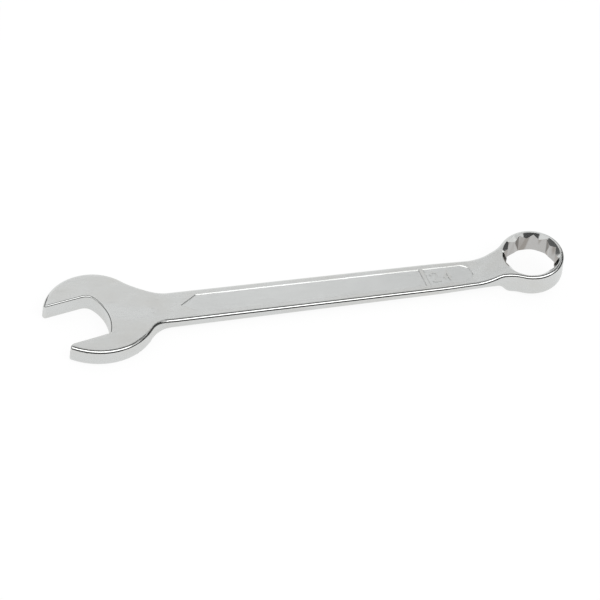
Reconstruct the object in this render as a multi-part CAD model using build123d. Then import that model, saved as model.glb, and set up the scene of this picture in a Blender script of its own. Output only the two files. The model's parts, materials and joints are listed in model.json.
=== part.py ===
from build123d import *
from math import atan2, cos, degrees, radians, sin, sqrt, tan
import os

# Combination wrench for 24 mm hexagon nuts: an open jaw at one end, a cranked 12-point ring at the other.
# The tool is one drop forging, so it is one solid. It lies with the head's lower face and the ring's
# lower rim on the table. It is drawn with the head's disc centre at the origin, halfway through the
# head, with the shank along +X, and at the end it is moved to stand on Z = 0, centred in plan.
# Lengths are in millimetres, angles in degrees.

# Nut and fits
NUT_SIZE = 24.0             # across the flats, the same at both ends
JAW_CLEARANCE = 0.2         # jaw opening beyond the nut, flat to flat
RING_CLEARANCE = 0.15       # ring flats beyond the nut, flat to flat
THROAT_GAP = 0.35           # from the nut's corner to the bottom of the throat

# Open head
CHEEK_WIDTH = 12.65         # from half the jaw's opening out to the head's disc
SHOULDER_RADIUS = 21.0      # of the +Y cheek, from its crown on to the shank
FLAT_CHEEK_RADIUS = 29.0    # of the -Y cheek, which is flatter than the disc
FLAT_CHEEK_INSET = 0.15     # how far the middle of that cheek stays inside the disc
HEAD_THICKNESS = 8.6
SLOT_ANGLE = 11.5           # between the jaw's axis and the shank
SLOT_OFFSET = 1.1           # of the jaw's axis from the head's centre, to the -Y side
NUT_SETBACK = 10.6          # from the head's centre out to the nut's centre, along the jaw's axis
THROAT_RADIUS = 21.0
FAR_THROAT_ROUND = 5.0      # where the throat meets the flat on the +Y jaw
NEAR_THROAT_ROUND = 1.2     # where it meets the flat on the -Y jaw
TIP_TRIM = 0.7              # from the disc back to the blunt end of each jaw
FAR_TIP_ROUND = 1.4         # plan radius from that end to the flat, on the +Y jaw
NEAR_TIP_ROUND = 3.0        # and on the -Y jaw

# Shank
HEAD_TO_RING = 226.0        # from the head's centre to the ring's centre, along the shank
SHANK_WIDTH = 18.7
SHANK_THICKNESS_AT_HEAD = 5.2
SHANK_THICKNESS_AT_RING = 4.1
SHANK_CLIMB = 0.95          # that the shank's middle rises on its way to the neck
FAR_HEAD_BLEND = 28.0       # plan radius from head to shank on the +Y side
NEAR_HEAD_BLEND = 12.0      # and on the -Y side
STEP_INSET = 3.5            # from the disc's rim in to where the step down to the shank starts
STEP_LENGTH = 10.5
STEP_ROUND = 42.0

# Neck, which narrows, bends up and spreads into the ring
WAIST_INSET = 0.7          # how much narrower the waist is, on each side
WAIST_LENGTH = 26.0         # over which the shank narrows to the waist
WAIST_ROUND = 90.0
NECK_CREST_GAP = 2.3        # from the ring's outer wall to the crest, along the ring's upper face
NECK_RISE_ANGLE = 30.0      # of the slope from the shank's upper face up to that crest
NECK_FOOT_SHARE = 0.76      # of the slope that the round at its foot takes up
NECK_CREST_SHARE = 0.12     # of the slope that the round at the crest takes up
NECK_DROP_ANGLE = 38.0      # of the lower face, down to the ring's rim
NECK_DROP_ROUND = 5.0
RING_BLEND = 19.0           # plan radius from neck to ring
NECK_OVERLAP = 0.75         # that the ring's own plan runs on into the shank, past that blend

# Ring
RING_WALL = 2.7             # outside the 12 corners
RING_HEIGHT = 12.9
CRANK_ANGLE = 15.0
SEAT_INSET = 2.8            # from the ring's outer wall in to where its lower face starts to curl up
SEAT_ROUND = 5.0
LEAD_MARGIN = 0.7           # lead-in chamfer beyond the 12 corners
LEAD_ANGLE = 45.0
POINT_ROUND = 0.35          # in the 12 corners

# Finish of the forging
EDGE_ROUND = 1.7            # all round the upper and lower faces
JAW_EDGE_ROUND = 0.9        # round the jaw's slot and the ends of its tips

# Sunk panels, the same on both faces of the shank
PANEL_WIDTH = 11.4
PANEL_DEPTH = 0.3
PANEL_DRAFT = 50.0          # of the panel's walls, from the upright
PANEL_POINT = 8.8           # length of the panel's pointed end, towards the head
PANEL_GAP_AT_HEAD = 7.4     # from the end of the step to that point
PANEL_GAP_AT_NECK = 6.0     # from the panel to the start of the rise
BAR_OFFSET = 27.0           # from the panel's ring end back to the middle of the cross bar
BAR_WIDTH = 2.0

# Size number, raised in the short panel
DIGIT_HEIGHT = 7.0
DIGIT_WIDTH = 4.6
DIGIT_GAP = 2.0
NUMBER_GAP = 2.5            # from the cross bar to the number
DIGIT_STROKE = 1.0
DIGIT_RELIEF = 0.3

# Worked out
JAW_HALF = (NUT_SIZE + JAW_CLEARANCE) / 2
RING_HALF = (NUT_SIZE + RING_CLEARANCE) / 2
THROAT_DEPTH = JAW_HALF / cos(radians(30)) + THROAT_GAP
HEAD_RADIUS = JAW_HALF + CHEEK_WIDTH
POINT_RADIUS = RING_HALF / cos(radians(30))
RING_RADIUS = POINT_RADIUS + RING_WALL
WAIST_WIDTH = SHANK_WIDTH - 2 * WAIST_INSET
FLAT_CHEEK_REACH = HEAD_RADIUS - FLAT_CHEEK_INSET
STEP_START = HEAD_RADIUS - STEP_INSET
STEP_END = STEP_START + STEP_LENGTH
CRANK = radians(CRANK_ANGLE)
# The arc under the neck rests on the table, and the ring's lower face runs on from it at the crank angle.
SEAT_REACH = RING_RADIUS - SEAT_INSET
RING_RISE = SEAT_REACH * sin(CRANK) + (RING_HEIGHT / 2 - SEAT_ROUND) * cos(CRANK)
RING_Z = SEAT_ROUND - HEAD_THICKNESS / 2 + RING_RISE
RING_PLANE = Plane(
    origin=(HEAD_TO_RING, 0, RING_Z),
    x_dir=(cos(CRANK), 0, sin(CRANK)),
    z_dir=(-sin(CRANK), 0, cos(CRANK)),
)
# The slope rises from the shank's upper face to a crest just short of the ring.
CREST = RING_PLANE.from_local_coords((-RING_RADIUS - NECK_CREST_GAP, 0, RING_HEIGHT / 2))
FOOT_HEIGHT = SHANK_CLIMB + SHANK_THICKNESS_AT_RING / 2
SLOPE_LENGTH = (CREST.Z - FOOT_HEIGHT) / sin(radians(NECK_RISE_ANGLE))
NECK_START = CREST.X - SLOPE_LENGTH * cos(radians(NECK_RISE_ANGLE))
WAIST_START = NECK_START - WAIST_LENGTH
NECK_FOOT_ROUND = NECK_FOOT_SHARE * SLOPE_LENGTH / tan(radians(NECK_RISE_ANGLE) / 2)
NECK_CREST_ROUND = NECK_CREST_SHARE * SLOPE_LENGTH / tan(radians(NECK_RISE_ANGLE - CRANK_ANGLE) / 2)
TALL = 6 * RING_HEIGHT      # longer than any cut or prism needs
TOUCHING = 0.001            # closer than this, two shapes touch


def round_corner(face, point, radius):
    """Round the corner of a plan or profile that lies nearest to a point."""
    corner = face.vertices().sort_by_distance(Vector(*point))[0]
    return fillet(corner, radius=radius)


def crossing(point_a, angle_a, point_b, angle_b):
    """Where two lines cross, each given by a point and its angle in degrees."""
    ax, ay = cos(radians(angle_a)), sin(radians(angle_a))
    bx, by = cos(radians(angle_b)), sin(radians(angle_b))
    dx, dy = point_b[0] - point_a[0], point_b[1] - point_a[1]
    reach = (dx * by - dy * bx) / (ax * by - ay * bx)
    return point_a[0] + reach * ax, point_a[1] + reach * ay


def tip_end(flat):
    """How far from the nut's centre a jaw ends, for the flat that lies at this Y from the jaw's axis."""
    return NUT_SETBACK - sqrt(HEAD_RADIUS**2 - (flat - SLOT_OFFSET) ** 2) + TIP_TRIM


def jaw_slot():
    """The jaw's opening in plan: a throat, two flats, and the room in front of the two tips."""
    out, wide = -3 * HEAD_RADIUS, 3 * HEAD_RADIUS
    arc_centre = THROAT_DEPTH - THROAT_RADIUS
    corner = arc_centre + sqrt(THROAT_RADIUS**2 - JAW_HALF**2)
    far_tip, near_tip = tip_end(JAW_HALF), tip_end(-JAW_HALF)
    outline = Polyline(
        (corner, -JAW_HALF), (near_tip, -JAW_HALF), (near_tip, -wide), (out, -wide),
        (out, wide), (far_tip, wide), (far_tip, JAW_HALF), (corner, JAW_HALF),
    )
    throat = ThreePointArc((corner, JAW_HALF), (THROAT_DEPTH, 0), (corner, -JAW_HALF))
    slot = make_face([outline, throat])
    slot = round_corner(slot, (corner, JAW_HALF), FAR_THROAT_ROUND)
    slot = round_corner(slot, (corner, -JAW_HALF), NEAR_THROAT_ROUND)
    slot = round_corner(slot, (far_tip, JAW_HALF), FAR_TIP_ROUND)
    slot = round_corner(slot, (near_tip, -JAW_HALF), NEAR_TIP_ROUND)
    turned = Rot(0, 0, SLOT_ANGLE) * Pos(-NUT_SETBACK, -SLOT_OFFSET, 0)
    return turned * slot


def head_plan():
    """The head in plan, before the jaw is cut. Each quarter of its outline has its own arc."""
    wide = 4 * HEAD_RADIUS
    far_left = Pos(-wide / 2, wide / 2) * Rectangle(wide, wide)
    far_right = Pos(wide / 2, wide / 2) * Rectangle(wide, wide)
    near_half = Pos(0, -wide / 2) * Rectangle(2 * wide, wide)
    crown = Circle(HEAD_RADIUS)
    shoulder = Pos(0, HEAD_RADIUS - SHOULDER_RADIUS) * Circle(SHOULDER_RADIUS)
    flat_cheek = Pos(0, FLAT_CHEEK_RADIUS - FLAT_CHEEK_REACH) * Circle(FLAT_CHEEK_RADIUS)
    return (crown & far_left) + (shoulder & far_right) + (flat_cheek & near_half)


def head_and_shank_plan():
    """Outline of the head and the shank, seen from above."""
    half, waist = SHANK_WIDTH / 2, WAIST_WIDTH / 2
    end = HEAD_TO_RING - RING_RADIUS
    shank = Polygon(
        (0, -half), (WAIST_START, -half), (NECK_START, -waist), (end, -waist),
        (end, waist), (NECK_START, waist), (WAIST_START, half), (0, half),
        align=None,
    )
    plan = head_plan() + shank
    far_root = sqrt(SHOULDER_RADIUS**2 - (half - HEAD_RADIUS + SHOULDER_RADIUS) ** 2)
    near_root = sqrt(FLAT_CHEEK_RADIUS**2 - (half + FLAT_CHEEK_RADIUS - FLAT_CHEEK_REACH) ** 2)
    plan = round_corner(plan, (far_root, half), FAR_HEAD_BLEND)
    plan = round_corner(plan, (near_root, -half), NEAR_HEAD_BLEND)
    for side in (1, -1):
        plan = round_corner(plan, (WAIST_START, side * half), WAIST_ROUND)
        plan = round_corner(plan, (NECK_START, side * waist), WAIST_ROUND)
    return plan


def ring_and_neck_plan():
    """Outline of the ring and the neck, square to the ring's axis."""
    waist = WAIST_WIDTH / 2
    blend_reach = sqrt((RING_RADIUS + RING_BLEND) ** 2 - (waist + RING_BLEND) ** 2)
    length = blend_reach + NECK_OVERLAP
    neck = Pos(-length / 2, 0, 0) * Rectangle(length, WAIST_WIDTH)
    plan = Circle(RING_RADIUS) + neck
    root = -sqrt(RING_RADIUS**2 - waist**2)
    for side in (1, -1):
        plan = round_corner(plan, (root, side * waist), RING_BLEND)
    return plan


def side_profile():
    """Outline of the whole tool, seen from the side, in X and Z."""
    head = HEAD_THICKNESS / 2
    start, stop = SHANK_THICKNESS_AT_HEAD / 2, SHANK_THICKNESS_AT_RING / 2
    foot, crest = (NECK_START, FOOT_HEIGHT), (CREST.X, CREST.Z)
    underside = degrees(atan2(SHANK_CLIMB - stop + start, NECK_START - STEP_END))
    far_end = 2 * RING_RADIUS
    lower = RING_PLANE.from_local_coords((0, 0, -RING_HEIGHT / 2))
    upper_end = RING_PLANE.from_local_coords((far_end, 0, RING_HEIGHT / 2))
    lower_end = RING_PLANE.from_local_coords((far_end, 0, -RING_HEIGHT / 2))
    seat = RING_PLANE.from_local_coords((-SEAT_REACH, 0, SEAT_ROUND - RING_HEIGHT / 2))
    drop = radians(NECK_DROP_ANGLE)
    on_drop = (seat.X - SEAT_ROUND * sin(drop), seat.Z - SEAT_ROUND * cos(drop))
    trough = crossing(on_drop, -NECK_DROP_ANGLE, (lower.X, lower.Z), CRANK_ANGLE)
    shelf = crossing(on_drop, -NECK_DROP_ANGLE, (STEP_END, -start), underside)
    points = [
        (-2 * HEAD_RADIUS, head), (STEP_START, head), (STEP_END, start), foot, crest,
        (upper_end.X, upper_end.Z), (lower_end.X, lower_end.Z),
        trough, shelf, (STEP_END, -start), (STEP_START, -head), (-2 * HEAD_RADIUS, -head),
    ]
    profile = make_face(Polyline(*points, close=True))
    rounds = [
        ((STEP_START, head), STEP_ROUND), ((STEP_END, start), STEP_ROUND),
        (foot, NECK_FOOT_ROUND), (crest, NECK_CREST_ROUND),
        (trough, SEAT_ROUND), (shelf, NECK_DROP_ROUND),
        ((STEP_END, -start), STEP_ROUND), ((STEP_START, -head), STEP_ROUND),
    ]
    for point, radius in rounds:
        profile = round_corner(profile, point, radius)
    return profile


def is_cap(face):
    """Whether a face belongs to the side profile: the upper and lower faces, not the walls."""
    if face.geom_type == GeomType.PLANE:
        normal = face.normal_at()
        return abs(normal.Y) < 0.01 and abs(normal.Z) > 0.5
    return abs(face.axis_of_rotation.direction.Y) > 0.99


def border(faces):
    """The edges round a patch of faces: those that belong to just one of them."""
    edges = [edge for face in faces for edge in face.edges()]
    return [edge for edge in edges if sum(edge.is_same(other) for other in edges) == 1]


def blank():
    """The forging with its rounded rims, before the jaw and the ring are cut and the panels are sunk."""
    head_prism = extrude(head_and_shank_plan(), amount=TALL / 2, both=True)
    ring_prism = extrude(RING_PLANE * ring_and_neck_plan(), amount=TALL / 2, both=True)
    slab = extrude(Plane.XZ * side_profile(), amount=TALL, both=True)
    body = (head_prism + ring_prism) & slab
    return fillet(border([face for face in body.faces() if is_cap(face)]), EDGE_ROUND)


def open_jaw(body):
    """Cut the slot through the head, and round its edges and the jaw's tips."""
    slot = extrude(jaw_slot(), amount=TALL / 2, both=True)
    body = body - slot
    walls = [
        face for face in body.faces()
        if all(slot.distance_to(corner) < TOUCHING for corner in face.vertices())
    ]
    return fillet(border(walls), JAW_EDGE_ROUND)


def twelve_points():
    """The socket's outline: two hexagons turned 30 degrees apart, with a corner on the shank's line."""
    star = RegularPolygon(POINT_RADIUS, 6) + RegularPolygon(POINT_RADIUS, 6, rotation=30)
    corners = star.vertices().filter_by(lambda corner: corner.center().length > POINT_RADIUS - 0.01)
    return fillet(corners, radius=POINT_ROUND)


def socket():
    """The 12-point hole through the ring, with a lead-in chamfer at each end."""
    hole = extrude(twelve_points(), amount=RING_HEIGHT, both=True)
    lead_radius = POINT_RADIUS + LEAD_MARGIN
    lead_depth = lead_radius / tan(radians(LEAD_ANGLE))
    for side in (1, -1):
        lead = Cone(0, lead_radius, lead_depth, align=(Align.CENTER, Align.CENTER, Align.MAX))
        if side < 0:
            lead = Rot(180, 0, 0) * lead
        hole += Pos(0, 0, side * RING_HEIGHT / 2) * lead
    return RING_PLANE.location * hole


def shank_face(side):
    """The plane of the shank's upper face, for side 1, or of its lower face, for side -1."""
    start = Vector(STEP_END, 0, side * SHANK_THICKNESS_AT_HEAD / 2)
    stop = Vector(NECK_START, 0, SHANK_CLIMB + side * SHANK_THICKNESS_AT_RING / 2)
    along = (stop - start).normalized()
    return Plane(origin=start, x_dir=along, z_dir=Vector(-along.Z, 0, along.X) * side)


def panel_spans():
    """Where the long panel and the short panel begin and end, along the shank from the step."""
    first = PANEL_GAP_AT_HEAD
    last = NECK_START - STEP_END - PANEL_GAP_AT_NECK
    bar = last - BAR_OFFSET
    return (first, bar - BAR_WIDTH / 2), (bar + BAR_WIDTH / 2, last)


def long_panel():
    """The long sunk panel's outline, with its point towards the head."""
    start, stop = panel_spans()[0]
    half = PANEL_WIDTH / 2
    cheek = start + PANEL_POINT
    return Polygon((start, 0), (cheek, -half), (stop, -half), (stop, half), (cheek, half), align=None)


def short_panel():
    """The short sunk panel's outline, with its round end towards the ring."""
    start, stop = panel_spans()[1]
    cap = stop - PANEL_WIDTH / 2
    flat = Pos((start + cap) / 2, 0) * Rectangle(cap - start, PANEL_WIDTH)
    return flat + Pos(cap, 0) * Circle(PANEL_WIDTH / 2)


def strokes(*paths):
    """Pen strokes with round ends along the given lines and arcs."""
    shape = Sketch()
    for path in paths:
        shape += SlotArc(path, DIGIT_STROKE)
    return shape


def digit_two():
    """A figure 2, centred on the origin."""
    half, top = (DIGIT_WIDTH - DIGIT_STROKE) / 2, (DIGIT_HEIGHT - DIGIT_STROKE) / 2
    bowl = ThreePointArc((-half, top - half), (0, top), (half, top - half))
    return strokes(bowl, Line((half, top - half), (-half, -top)), Line((-half, -top), (half, -top)))


def digit_four():
    """A figure 4, centred on the origin."""
    half, top = (DIGIT_WIDTH - DIGIT_STROKE) / 2, (DIGIT_HEIGHT - DIGIT_STROKE) / 2
    stem, bar = half / 2, -top / 3
    return strokes(
        Line((stem, -top), (stem, top)), Line((stem, top), (-half, bar)), Line((-half, bar), (half, bar))
    )


def size_number():
    """The raised number 24, standing on the floor of the short panel."""
    first = panel_spans()[1][0] + NUMBER_GAP + DIGIT_WIDTH / 2
    second = first + DIGIT_WIDTH + DIGIT_GAP
    number = Pos(first, 0) * digit_two() + Pos(second, 0) * digit_four()
    return Pos(0, 0, -PANEL_DEPTH) * extrude(number, amount=DIGIT_RELIEF)


def wrench():
    """The finished tool, drawn about the head's centre."""
    body = open_jaw(blank())
    body -= socket()
    for side in (1, -1):
        place = shank_face(side).location
        for outline in (long_panel(), short_panel()):
            body -= place * extrude(outline, amount=-PANEL_DEPTH, taper=PANEL_DRAFT)
        body += place * size_number()
    return body


def on_table(body):
    """Stand the tool on Z = 0 with the middle of its bounding box over the origin."""
    box = body.bounding_box()
    return Pos(-box.center().X, -box.center().Y, -box.min.Z) * body


tool = on_table(wrench())
os.makedirs("parts", exist_ok=True)
export_step(tool, "parts/wrench_forging.step")
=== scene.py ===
# %% [markdown]
# # A satin chrome combination wrench
# A combination wrench is one steel forging: it is forged, ground on its faces, polished on its rounded
# edges and plated with a thin coat of chrome. There is nothing to assemble, so this lesson is about two
# things: a skin smooth enough to carry reflections, and light that gives one grey metal its soft faces,
# its bright edges and the dark line beside each of them. Nothing on the tool repeats by a rule that the
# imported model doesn't hold already, so there is no Geometry Nodes tree here.

import json
import math

import bpy
import numpy as np
from mathutils import Matrix, Vector


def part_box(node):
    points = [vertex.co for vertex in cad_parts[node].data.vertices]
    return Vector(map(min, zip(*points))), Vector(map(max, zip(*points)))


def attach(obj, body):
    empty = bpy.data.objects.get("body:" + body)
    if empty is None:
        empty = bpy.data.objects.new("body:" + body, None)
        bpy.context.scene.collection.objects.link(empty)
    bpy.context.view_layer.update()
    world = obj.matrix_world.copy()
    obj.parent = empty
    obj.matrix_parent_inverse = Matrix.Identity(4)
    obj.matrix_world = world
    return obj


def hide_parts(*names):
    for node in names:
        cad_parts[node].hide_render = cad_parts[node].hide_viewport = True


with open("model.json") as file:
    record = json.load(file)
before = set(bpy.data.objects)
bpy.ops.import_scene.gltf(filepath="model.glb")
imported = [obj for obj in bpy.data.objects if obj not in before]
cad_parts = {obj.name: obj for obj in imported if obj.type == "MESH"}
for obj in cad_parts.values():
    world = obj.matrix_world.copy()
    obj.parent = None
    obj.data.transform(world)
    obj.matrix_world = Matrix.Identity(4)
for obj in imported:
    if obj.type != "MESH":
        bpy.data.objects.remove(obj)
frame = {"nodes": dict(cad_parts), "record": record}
scene = bpy.context.scene
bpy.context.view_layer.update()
forging = frame["nodes"]["wrench_forging"]
low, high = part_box("wrench_forging")
print("forging spans", [round(1000 * side, 1) for side in high - low], "mm")

# %% [markdown]
# ## Camera
# A long lens from well back keeps the shank's two edges nearly parallel. The camera looks down at about
# 44 degrees and is rolled about its own line of sight, so that the tool lies slantwise in the frame.

# %% Camera
CAMERA_AZIMUTH = -30.450        # degrees round the tool, from straight in front of it
CAMERA_HEIGHT = 44.474          # degrees above the table
CAMERA_ROLL = 15.865            # degrees about the line of sight
CAMERA_DISTANCE = 0.63559       # metres from the target
CAMERA_TARGET = Vector((-0.01144, -0.00300, 0.0043))
LENS = 79.37                    # millimetres
SENSOR_WIDTH = 36               # millimetres


def place_camera():
    """A camera on a sphere round its target, rolled about its line of sight."""
    azimuth, height = math.radians(CAMERA_AZIMUTH), math.radians(CAMERA_HEIGHT)
    roll = math.radians(CAMERA_ROLL)
    back = Vector((
        math.sin(azimuth) * math.cos(height),
        -math.cos(azimuth) * math.cos(height),
        math.sin(height),
    ))
    right = Vector((0, 0, 1)).cross(back).normalized()
    up = back.cross(right)
    across = right * math.cos(roll) + up * math.sin(roll)
    upward = up * math.cos(roll) - right * math.sin(roll)
    data = bpy.data.cameras.new("camera")
    data.lens = LENS
    data.sensor_width = SENSOR_WIDTH
    camera = bpy.data.objects.new("camera", data)
    scene.collection.objects.link(camera)
    turn = Matrix((across, upward, back)).transposed().to_4x4()
    camera.matrix_world = Matrix.Translation(CAMERA_TARGET + back * CAMERA_DISTANCE) @ turn
    scene.camera = camera
    return camera


camera = place_camera()
print("camera stands at", [round(1000 * side) for side in camera.matrix_world.translation], "mm")

# %% [markdown]
# ## A smooth skin for the forging
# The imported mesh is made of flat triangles, coarse enough to show as corners in a polished edge. Each of
# its corners also carries the true direction of the surface there, though. A curved patch that meets
# those directions, known as a PN triangle, bulges every triangle back towards the real round, while flat
# faces stay flat. A subdivision surface would melt the crisp borders, and a bevel has no clean edges to
# work on, so the patches are worked out here with numpy.

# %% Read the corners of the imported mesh
SPLITS = 3              # each triangle's side is cut into this many
WELD = 1e-7             # metres


def read_corners(mesh):
    """Each triangle's corner positions, corner normals and welded corner numbers."""
    places = np.empty(3 * len(mesh.vertices))
    mesh.vertices.foreach_get("co", places)
    places = places.reshape(-1, 3)
    corner_vertex = np.empty(len(mesh.loops), dtype=int)
    mesh.loops.foreach_get("vertex_index", corner_vertex)
    normals = np.empty(3 * len(mesh.loops))
    mesh.corner_normals.foreach_get("vector", normals)
    keys = np.round(places / WELD).astype(np.int64)
    _, welded = np.unique(keys, axis=0, return_inverse=True)
    triangles = corner_vertex.reshape(-1, 3)
    return places[triangles], normals.reshape(-1, 3, 3), welded.reshape(-1)[triangles]


corner_places, corner_normals, corner_ids = read_corners(forging.data)
print("packed mesh:", len(corner_ids), "triangles,", corner_ids.max() + 1, "welded points")

# %% [markdown]
# ### Curved patches
# A patch has ten control points: its three corners, two along each side, and one in the middle. A side's
# two points lie in the corners' tangent planes. Where two patches meet at a crisp border they would bend
# that side differently and leave a slit, so each side takes the average of its two neighbours.

# %% Control points
ENDS_OF_SIDES = [(0, 1), (1, 0), (1, 2), (2, 1), (2, 0), (0, 2)]


def side_points(places, normals, ids):
    """The point a third of the way along each side, from each end, shared by the patches that meet there."""
    points, keys = [], []
    for near, far in ENDS_OF_SIDES:
        side = places[:, far] - places[:, near]
        lift = np.sum(side * normals[:, near], axis=1, keepdims=True) * normals[:, near]
        points.append(places[:, near] + (side - lift) / 3)
        keys.append(ids[:, near] * (ids.max() + 1) + ids[:, far])
    points, keys = np.array(points), np.array(keys)
    _, shared = np.unique(keys.reshape(-1), return_inverse=True)
    shared = shared.reshape(-1)
    totals = np.zeros((shared.max() + 1, 3))
    np.add.at(totals, shared, points.reshape(-1, 3))
    counts = np.bincount(shared)[:, None]
    return (totals / counts)[shared].reshape(points.shape)


def patch_grid():
    """Where the new points lie in a patch, and the small triangles between them."""
    grid = [(i, j) for i in range(SPLITS + 1) for j in range(SPLITS + 1 - i)]
    number = {spot: index for index, spot in enumerate(grid)}
    faces = []
    for i, j in grid:
        if i + j < SPLITS:
            faces.append((number[i, j], number[i + 1, j], number[i, j + 1]))
        if i + j < SPLITS - 1:
            faces.append((number[i + 1, j], number[i + 1, j + 1], number[i, j + 1]))
    weights = [((SPLITS - i - j) / SPLITS, i / SPLITS, j / SPLITS) for i, j in grid]
    return weights, np.array(faces)


def curved_patches(places, normals, ids):
    """New points, their normals and the triangles between them, patch by patch."""
    sides = side_points(places, normals, ids)
    middle_of_sides = sides.mean(axis=0)
    centre = middle_of_sides + (middle_of_sides - places.mean(axis=1)) / 2
    weights, faces = patch_grid()
    points, directions = [], []
    for a, b, c in weights:
        point = a**3 * places[:, 0] + b**3 * places[:, 1] + c**3 * places[:, 2] + 6 * a * b * c * centre
        point += 3 * (a * a * b * sides[0] + a * b * b * sides[1] + b * b * c * sides[2])
        point += 3 * (b * c * c * sides[3] + c * c * a * sides[4] + c * a * a * sides[5])
        direction = a * normals[:, 0] + b * normals[:, 1] + c * normals[:, 2]
        points.append(point)
        directions.append(direction / np.linalg.norm(direction, axis=1, keepdims=True))
    return np.array(points).swapaxes(0, 1), np.array(directions).swapaxes(0, 1), faces


patch_points, patch_normals, patch_faces = curved_patches(corner_places, corner_normals, corner_ids)
print("skin:", len(patch_faces) * len(corner_ids), "triangles")

# %% [markdown]
# ### Which faces the polishing wheel reached
# A wheel rides on the rounded edges and hardly touches the flats. The roundness of each patch tells them
# apart: it is how far the surface turns for each millimetre along the patch's side. The wheel shines the
# ring's hole as well, which is found by its distance from the hole's axis. The upright walls in there get
# painted shade, a darker colour than the chrome.

# %% The ring's hole
SOCKET_REACH = 0.0149           # metres from the hole's axis to just outside the lead-in chamfers
LEAST_INWARD = 0.3              # how squarely a patch has to look towards the axis
MOST_ALONG = 0.3                # how far an upright wall may look along the axis
ring = next(mount for mount in frame["record"]["mounts"] if mount["name"] == "ring_socket")
ring_centre = np.array(ring["pos_m"])
ring_axis = np.array(ring["axis"]) / np.linalg.norm(ring["axis"])


def in_socket(places, normals):
    """Whether each patch is a wall or a lead-in of the ring's hole, which looks towards the hole's axis."""
    offset = places.mean(axis=1) - ring_centre
    outward = offset - (offset @ ring_axis)[:, None] * ring_axis
    distance = np.linalg.norm(outward, axis=1)
    inward = -np.sum(normals.mean(axis=1) * outward, axis=1) / np.maximum(distance, WELD)
    return (distance < SOCKET_REACH) & (inward > LEAST_INWARD)


def hole_shade_of(places, normals):
    """1 on the upright walls of the ring's hole, which get a darker colour as painted shade."""
    upright = np.abs(normals.mean(axis=1) @ ring_axis) < MOST_ALONG
    return (in_socket(places, normals) & upright).astype(float)


# the upright walls of the ring's hole, which get painted shade
hole_shade = hole_shade_of(corner_places, corner_normals)
print("thinly plated patches:", int(hole_shade.sum()))

# %% Polish
ROUNDNESS_OF_AN_EDGE = (0.4, 1.7)       # turn per millimetre, in radians
SHORTEST_SIDE = 0.02                    # millimetres, below which a side says nothing of roundness


def polish_of(places, normals):
    """1 on the rounded edges and in the socket, 0 on the flats and the broad curves."""
    roundest = np.zeros(len(places))
    for near, far in ((0, 1), (1, 2), (2, 0)):
        turn = np.arccos(np.clip(np.sum(normals[:, near] * normals[:, far], axis=1), -1, 1))
        length = 1000 * np.linalg.norm(places[:, far] - places[:, near], axis=1)
        roundest = np.maximum(roundest, turn / np.maximum(length, SHORTEST_SIDE))
    slack, tight = ROUNDNESS_OF_AN_EDGE
    rounded = (roundest > slack) & (roundest < tight)
    return (rounded | in_socket(places, normals)).astype(float)


polish = polish_of(corner_places, corner_normals)
print("polished patches:", int(polish.sum()), "of", len(polish))

# %% [markdown]
# ### Which faces keep the blasted skin
# The panels are pressed into both faces of the shank, so their floors are out of the belt's reach. They
# are found by their depth: each flat patch lies in a plane, the shank's face is the outermost such plane
# halfway along the tool, and a floor's plane is a fraction of a millimetre further in.

# %% Blasted floors
MIDDLE_OF_SHANK = (-0.06, 0.04)         # X between which only the face and the long panel's floor are flat
SHANK_REACH = (-0.08, 0.09)             # X between which the panels lie
FLOOR_DEPTH = (0.00012, 0.00060)        # metres, the least and most that a floor lies below the face
FLATNESS = 1e-3                         # how little a flat patch's corners differ in direction
LEVELNESS = 0.99                        # how squarely it looks up or down


def floors_of(places, normals):
    """1 on the floors of the pressed panels, 0 elsewhere."""
    facing, middle = normals.mean(axis=1), places.mean(axis=1)
    flat = np.abs(normals - facing[:, None, :]).max(axis=(1, 2)) < FLATNESS
    level = flat & (np.abs(facing[:, 2]) > LEVELNESS)
    reach = np.sum(middle * facing, axis=1)
    halfway = (middle[:, 0] > MIDDLE_OF_SHANK[0]) & (middle[:, 0] < MIDDLE_OF_SHANK[1])
    along = (middle[:, 0] > SHANK_REACH[0]) & (middle[:, 0] < SHANK_REACH[1])
    floors = np.zeros(len(places), dtype=bool)
    for side in (1, -1):
        here = level & (side * facing[:, 2] > 0)
        depth = reach[here & halfway].max() - reach
        floors |= here & along & (depth > FLOOR_DEPTH[0]) & (depth < FLOOR_DEPTH[1])
    return floors.astype(float)


blasted = floors_of(corner_places, corner_normals)
print("blasted patches:", int(blasted.sum()))

# %% [markdown]
# ### The skin
# The small triangles of all the patches are welded into one mesh. It keeps the true directions as its own
# normals, and each face keeps three levels for the material: polished, blasted, and the hole's painted
# shade.

# %% Skin


def build_skin():
    """The forging's visible mesh, welded, with its true normals and its finish levels."""
    count = patch_points.shape[1]
    keys = np.round(patch_points.reshape(-1, 3) / WELD).astype(np.int64)
    _, first, welded = np.unique(keys, axis=0, return_index=True, return_inverse=True)
    welded = welded.reshape(-1, count)
    points = patch_points.reshape(-1, 3)[first]
    faces = welded[:, patch_faces].reshape(-1, 3)
    normals = patch_normals[:, patch_faces].reshape(-1, 3)
    whole = (faces[:, 0] != faces[:, 1]) & (faces[:, 1] != faces[:, 2]) & (faces[:, 2] != faces[:, 0])
    mesh = bpy.data.meshes.new("forging_skin")
    mesh.from_pydata(points.tolist(), [], faces[whole].tolist())
    # the third level marks the walls of the ring's hole, which get painted shade
    for name, values in (("polish", polish), ("blasted", blasted), ("hole_shade", hole_shade)):
        level = mesh.attributes.new(name, "FLOAT", "FACE")
        level.data.foreach_set("value", np.repeat(values, len(patch_faces))[whole])
    mesh.polygons.foreach_set("use_smooth", np.ones(len(mesh.polygons), dtype=bool))
    mesh.normals_split_custom_set(normals.reshape(-1, 3, 3)[whole].reshape(-1, 3).tolist())
    mesh.update()
    skin = bpy.data.objects.new("forging_skin", mesh)
    scene.collection.objects.link(skin)
    return skin


skin = build_skin()
print("skin has", len(skin.data.polygons), "faces")
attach(skin, "root")
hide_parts("wrench_forging")

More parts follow.
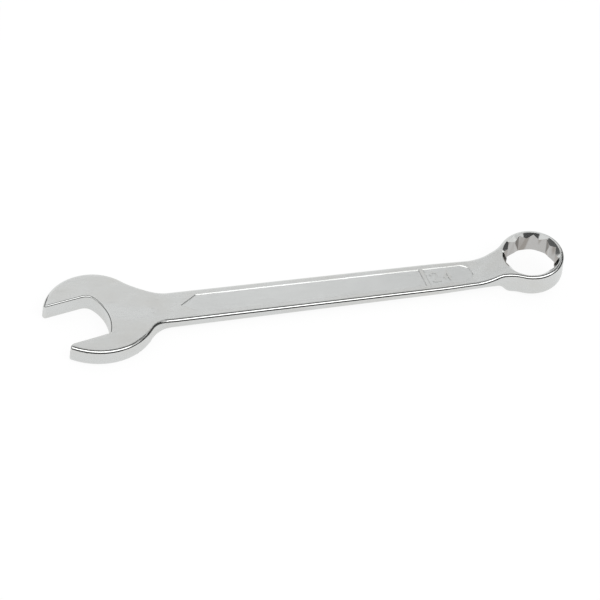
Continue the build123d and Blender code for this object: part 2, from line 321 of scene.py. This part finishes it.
# %% [markdown]
# ## Satin chrome
# Under the chrome lies the surface that the tool was ground to. A belt leaves fine lines along the tool,
# the buffing wheel shines the rounded edges, and the floors of the panels keep the stipple that shot
# blasting gave the forging. Chrome copies all of it, so one metal does for the whole tool, and what
# changes from place to place is how rough it is. The face attributes say where the wheel and the shot
# went, and noise in the object's own coordinates gives the lines, the stipple and a slow waviness.

# %% Helpers for the material


class Finish:
    """A node tree with short calls for the few kinds of node that the chrome needs."""

    def __init__(self, name):
        self.material = bpy.data.materials.new(name)
        self.material.use_nodes = True
        self.nodes = self.material.node_tree.nodes
        self.links = self.material.node_tree.links
        self.shader = self.nodes["Principled BSDF"]
        self.place = self.nodes.new("ShaderNodeTexCoord").outputs["Object"]

    def feed(self, value, target):
        """Link an input to another node's output, or give it a constant."""
        if isinstance(value, bpy.types.NodeSocket):
            self.links.new(value, target)
        else:
            target.default_value = value

    def level(self, name):
        """The level that each face has in one of the skin's attributes."""
        node = self.nodes.new("ShaderNodeAttribute")
        node.attribute_name = name
        return node.outputs["Fac"]

    def noise(self, per_metre, detail, turn=(0, 0, 0)):
        """Noise with this many waves to the metre along each axis, turned by angles in degrees."""
        spread = self.nodes.new("ShaderNodeMapping")
        self.feed(self.place, spread.inputs["Vector"])
        self.feed([math.radians(angle) for angle in turn], spread.inputs["Rotation"])
        self.feed(per_metre, spread.inputs["Scale"])
        node = self.nodes.new("ShaderNodeTexNoise")
        self.feed(spread.outputs["Vector"], node.inputs["Vector"])
        self.feed(1, node.inputs["Scale"])
        self.feed(detail, node.inputs["Detail"])
        return node.outputs["Fac"]

    def span(self, source, reach, result):
        """Stretch one range of values to another, and hold what lies outside at its ends."""
        node = self.nodes.new("ShaderNodeMapRange")
        self.feed(source, node.inputs["Value"])
        for name, value in zip(("From Min", "From Max", "To Min", "To Max"), (*reach, *result)):
            self.feed(value, node.inputs[name])
        return node.outputs["Result"]

    def reckon(self, kind, first, second):
        """Add, subtract or multiply two values."""
        node = self.nodes.new("ShaderNodeMath")
        node.operation = kind
        self.feed(first, node.inputs[0])
        self.feed(second, node.inputs[1])
        return node.outputs[0]

    def blend(self, share, first, second):
        """A mix of two colours, with this share of the second."""
        node = self.nodes.new("ShaderNodeMix")
        node.data_type = "RGBA"
        self.feed(share, node.inputs["Factor"])
        self.feed(first, node.inputs["A"])
        self.feed(second, node.inputs["B"])
        return node.outputs["Result"]

    def bump(self, height, depth, below=None):
        """A bump of this depth in metres, on top of the one below it."""
        node = self.nodes.new("ShaderNodeBump")
        self.feed(depth, node.inputs["Distance"])
        self.feed(1, node.inputs["Strength"])
        self.feed(height, node.inputs["Height"])
        if below is not None:
            self.feed(below, node.inputs["Normal"])
        return node.outputs["Normal"]


finish = Finish("satin_chrome_plate")
polished, shot_blasted = finish.level("polish"), finish.level("blasted")
print("started on", finish.material.name)

# %% [markdown]
# ### How rough the chrome is
# The belt's lines run along the tool, so their noise is stretched along X. Slow patches make the shine
# uneven, and a few hairlines cross the flats at a slant. On the rounded edges the wheel has taken all of
# that down to one low roughness, and on the floors of the panels the shot has raised it.

# %% Roughness
SATIN, SHINE, BLASTED = 0.30, 0.10, 0.36        # of the flats, the polished edges and the panels' floors
BELT_WAVES, BELT_DETAIL = (110, 3200, 3200), 3
BELT_CUT = (0.3, 0.7)           # of the noise, from the smoothest line to the roughest
BELT_SPREAD = 0.035             # roughness that the belt's lines add or take
PATCH_WAVES, PATCH_DETAIL = (45, 90, 90), 3
PATCH_CUT = (0.35, 0.65)        # of the noise, from the smoothest patch to the roughest
PATCH_SPREAD = 0.02             # roughness that the slow patches add or take
HAIRLINE_WAVES, HAIRLINE_SLANT = (60, 2600, 2600), (0, 0, 14)
HAIRLINE_CUT = (0.68, 0.74)     # of the noise, so that only its highest crests are hairlines
HAIRLINE_DULL = 0.12            # roughness that a hairline adds


def add_roughness(belt_lines, patches):
    """Satin flats, blasted floors and shining edges, each a little uneven."""
    lines = finish.span(belt_lines, BELT_CUT, (SATIN - BELT_SPREAD, SATIN + BELT_SPREAD))
    uneven = finish.span(patches, PATCH_CUT, (-PATCH_SPREAD, PATCH_SPREAD))
    crests = finish.span(finish.noise(HAIRLINE_WAVES, 1, HAIRLINE_SLANT), HAIRLINE_CUT, (0, 1))
    flats = finish.reckon("ADD", lines, uneven)
    flats = finish.reckon("ADD", flats, finish.reckon("MULTIPLY", crests, HAIRLINE_DULL))
    flats = finish.reckon("ADD", flats, finish.reckon("MULTIPLY", shot_blasted, BLASTED - SATIN))
    to_shine = finish.reckon("MULTIPLY", polished, finish.reckon("SUBTRACT", SHINE, flats))
    finish.feed(finish.reckon("ADD", flats, to_shine), finish.shader.inputs["Roughness"])


belt_lines = finish.noise(BELT_WAVES, BELT_DETAIL)
patches = finish.noise(PATCH_WAVES, PATCH_DETAIL)
add_roughness(belt_lines, patches)
print("roughness runs from", SHINE, "on the edges to", BLASTED, "on the floors")

# %% [markdown]
# ### Colour
# Chrome is close to neutral. The same slow patches make it a touch warmer and darker, and the blasted
# floors a touch lighter. The walls of the ring's hole are painted a darker grey as shade of the hole, and
# the grey turns browner in streaks along the hole that vary at random.

# %% Colour
CHROME = (0.648, 0.660, 0.654)
WARM_SHARE = (0.985, 0.972, 0.955)      # how much of each colour the warmer patches keep
WARM_CUT = (0.4, 0.7)                   # of the patches' noise, from neutral to warm
FLOOR_GAIN = 1.08                       # how much lighter the blasted floors are
# grey and brown painted shade for the walls of the ring's hole
HOLE_SHADE_GREY = (0.480, 0.475, 0.465)
HOLE_SHADE_BROWN = (0.320, 0.300, 0.280)
STREAK_WAVES = (230, 230, 15)
STREAK_CUT = (0.44, 0.60)               # of the noise, between the grey and the brown of the painted shade


def hole_shade_colour():
    """Painted shade for the walls of the ring's hole: grey and brown, in streaks that lean with the ring."""
    lean = math.degrees(math.atan2(ring_axis[0], ring_axis[2]))
    streaks = finish.noise(STREAK_WAVES, 1, (0, -lean, 0))
    return finish.blend(finish.span(streaks, STREAK_CUT, (0, 1)), (*HOLE_SHADE_GREY, 1), (*HOLE_SHADE_BROWN, 1))


def add_colour(patches):
    """Chrome with warmer patches and lighter floors, and painted shade on the walls of the ring's hole."""
    warm = [channel * share for channel, share in zip(CHROME, WARM_SHARE)]
    light = [channel * FLOOR_GAIN for channel in CHROME]
    tint = finish.blend(finish.span(patches, WARM_CUT, (0, 1)), (*CHROME, 1), (*warm, 1))
    tint = finish.blend(shot_blasted, tint, (*light, 1))
    # painted shade on the walls of the ring's hole
    tint = finish.blend(finish.level("hole_shade"), tint, hole_shade_colour())
    finish.feed(tint, finish.shader.inputs["Base Color"])
    finish.feed(1, finish.shader.inputs["Metallic"])


add_colour(patches)
# the last value is the grey of the painted shade in the ring's hole
print("chrome reflects", CHROME, "and grey_hole_shade", HOLE_SHADE_GREY)

# %% [markdown]
# ### Height
# The surface is slightly wavy all over. The belt's lines lie on the flats alone, for the wheel has taken
# them off the edges and the shot off the floors, and the floors have the stipple instead.

# %% Height
SLOW_WAVES = (70, 130, 130)
SLOW_DEPTH = 0.00008            # metres, as are the two below
LINE_DEPTH = 0.000012
STIPPLE_DEPTH = 0.00002
STIPPLE_WAVES = (2600, 2600, 2600)


def add_height(belt_lines):
    """Waviness everywhere, belt lines on the flats, stipple on the floors."""
    on_flats = finish.reckon("SUBTRACT", finish.reckon("SUBTRACT", 1, polished), shot_blasted)
    lines = finish.reckon("MULTIPLY", belt_lines, on_flats)
    pits = finish.reckon("MULTIPLY", finish.noise(STIPPLE_WAVES, 2), shot_blasted)
    normal = finish.bump(finish.noise(SLOW_WAVES, 1), SLOW_DEPTH)
    normal = finish.bump(lines, LINE_DEPTH, normal)
    normal = finish.bump(pits, STIPPLE_DEPTH, normal)
    finish.feed(normal, finish.shader.inputs["Normal"])


add_height(belt_lines)
skin.data.materials.append(finish.material)
print("chrome uses", len(finish.nodes), "nodes")

# %% [markdown]
# ## Table
# The tool lies on a white table. Eyes and mirrors see the table mostly as plain white, with a little of
# its real light and shade left in, so that the tool keeps a soft shadow under it.

# %% Table
TABLE_HALF = 2.0        # metres
TABLE_TONE, TABLE_ROUGHNESS = 0.9, 0.9
WHITE_SHARE = 0.90      # how much of the table that is seen is plain white, the rest being lit and shaded


def white_for_eyes(nodes, links, plain, seen, share):
    """Plain light for diffuse rays; camera, glossy and transmission rays see this share of the other."""
    path = nodes.new("ShaderNodeLightPath")
    seen_by = path.outputs["Is Camera Ray"]
    for name in ("Is Glossy Ray", "Is Transmission Ray"):
        either = nodes.new("ShaderNodeMath")
        either.operation = "MAXIMUM"
        links.new(seen_by, either.inputs[0])
        links.new(path.outputs[name], either.inputs[1])
        seen_by = either.outputs[0]
    part = nodes.new("ShaderNodeMath")
    part.operation = "MULTIPLY"
    part.inputs[1].default_value = share
    links.new(seen_by, part.inputs[0])
    mix = nodes.new("ShaderNodeMixShader")
    links.new(part.outputs[0], mix.inputs[0])
    links.new(plain, mix.inputs[1])
    links.new(seen, mix.inputs[2])
    return mix.outputs[0]


def add_table():
    """A matt table top at Z = 0."""
    mesh = bpy.data.meshes.new("table")
    corners = [(TABLE_HALF * x, TABLE_HALF * y, 0) for x, y in ((-1, -1), (1, -1), (1, 1), (-1, 1))]
    mesh.from_pydata(corners, [], [(0, 1, 2, 3)])
    table = bpy.data.objects.new("table", mesh)
    scene.collection.objects.link(table)
    material = bpy.data.materials.new("white_table")
    material.use_nodes = True
    nodes, links = material.node_tree.nodes, material.node_tree.links
    shader = nodes["Principled BSDF"]
    shader.inputs["Base Color"].default_value = (TABLE_TONE, TABLE_TONE, TABLE_TONE, 1)
    shader.inputs["Roughness"].default_value = TABLE_ROUGHNESS
    shader.inputs["Specular IOR Level"].default_value = 0
    white = nodes.new("ShaderNodeEmission")
    surface = white_for_eyes(nodes, links, shader.outputs[0], white.outputs[0], WHITE_SHARE)
    links.new(surface, nodes["Material Output"].inputs["Surface"])
    mesh.materials.append(material)


add_table()
print("table is", 2 * TABLE_HALF, "m wide")

# %% [markdown]
# ## Light
# Polished metal shows its surroundings, so they matter more than the lamp does. A white room lights the
# flats. A softbox on the near side gives every rounded edge one bright line. Beyond it the room is dark,
# which puts a thin dark line beside the bright one, and a grey card overhead gives the soft grey between
# the flats and the bright line. Away from the camera the white sweep goes on up from the table, so the
# far edges have no dark line.

# %% Softbox
SOFTBOX_PLACE = (-0.05, -0.46, 0.90)
SOFTBOX_SIZE = (1.50, 0.36)
SOFTBOX_POWER = 3.4     # watts


def add_softbox():
    """A wide soft light that looks at the tool from the near side."""
    data = bpy.data.lights.new("softbox", "AREA")
    data.shape = "RECTANGLE"
    data.size, data.size_y = SOFTBOX_SIZE
    data.energy = SOFTBOX_POWER
    lamp = bpy.data.objects.new("softbox", data)
    scene.collection.objects.link(lamp)
    lamp.location = SOFTBOX_PLACE
    lamp.rotation_euler = (-Vector(SOFTBOX_PLACE)).to_track_quat("-Z", "Y").to_euler()


add_softbox()
print("softbox stands", round(Vector(SOFTBOX_PLACE).length, 2), "m from the tool")

# %% [markdown]
# ### Dark room and grey card
# The room is a ring of dark walls round the table, open on the far side. Each wall covers a part of the
# compass and stands up to the height where the metal turns from its dark line to its bright one. Walls
# and card show in the metal alone: they shade nothing and the camera doesn't see them.

# %% Dark room and grey card
ROOM_RADIUS = 1.8               # metres
STEPS_PER_DEGREE = 0.25


def only_reflected(name, points, faces, tone):
    """A card of one grey that shows in reflections only."""
    mesh = bpy.data.meshes.new(name)
    mesh.from_pydata(points, [], faces)
    card = bpy.data.objects.new(name, mesh)
    scene.collection.objects.link(card)
    material = bpy.data.materials.new(name)
    material.use_nodes = True
    nodes, links = material.node_tree.nodes, material.node_tree.links
    nodes.remove(nodes["Principled BSDF"])
    glow = nodes.new("ShaderNodeEmission")
    glow.inputs["Color"].default_value = (tone, tone, tone, 1)
    links.new(glow.outputs[0], nodes["Material Output"].inputs["Surface"])
    mesh.materials.append(material)
    card.visible_camera = False
    card.visible_diffuse = False
    card.visible_shadow = False


def add_wall(name, start, end, lowest, highest, tone):
    """A curved wall from one compass angle to another, between two heights in degrees."""
    count = max(2, round((end - start) * STEPS_PER_DEGREE))
    points = []
    for i in range(count + 1):
        turn = math.radians(start + (end - start) * i / count)
        for height in (lowest, highest):
            rise = ROOM_RADIUS * math.tan(math.radians(height))
            points.append((ROOM_RADIUS * math.cos(turn), ROOM_RADIUS * math.sin(turn), rise))
    faces = [(2 * i, 2 * i + 2, 2 * i + 3, 2 * i + 1) for i in range(count)]
    only_reflected(name, points, faces, tone)


# each wall's name, its first and last compass angle, its lowest and highest angle, and its tone
walls = [
    ("right_wall", -20, 30, 30, 44, 0.03),
    ("right_wall_foot", -20, 30, 1, 30, 0.11),
    ("grey_corner", 30, 50, 1, 36, 0.5),
    ("low_wall_right", -54, -20, 1, 30, 0.05),
    ("near_wall_right", -90, -54, 1, 39, 0.06),
    ("near_wall", -148, -90, 1, 44, 0.09),
    ("low_wall_left", -180, -148, 1, 18, 0.12),
    ("left_wall", 108, 180, 1, 34, 0.15),
]
for wall in walls:
    add_wall(*wall)

CARD_X, CARD_Y, CARD_Z = (-0.9, 0.9), (-0.35, 0.62), 1.2
CARD_TONE = 0.22
card_corners = [(CARD_X[i], CARD_Y[j], CARD_Z) for i, j in ((0, 0), (1, 0), (1, 1), (0, 1))]
only_reflected("grey_card", card_corners, [(0, 1, 2, 3)], CARD_TONE)
print("the room has", len(walls), "walls and a grey card")

# %% [markdown]
# ### White room
# Everything beyond the walls is plain white, and the picture keeps the tones as they are.

# %% White room
world = bpy.data.worlds.new("white_room")
world.use_nodes = True
background = world.node_tree.nodes["Background"]
background.inputs["Color"].default_value = (1, 1, 1, 1)
background.inputs["Strength"].default_value = 1.0
scene.world = world
scene.view_settings.view_transform = "Standard"
print("world is", world.name)
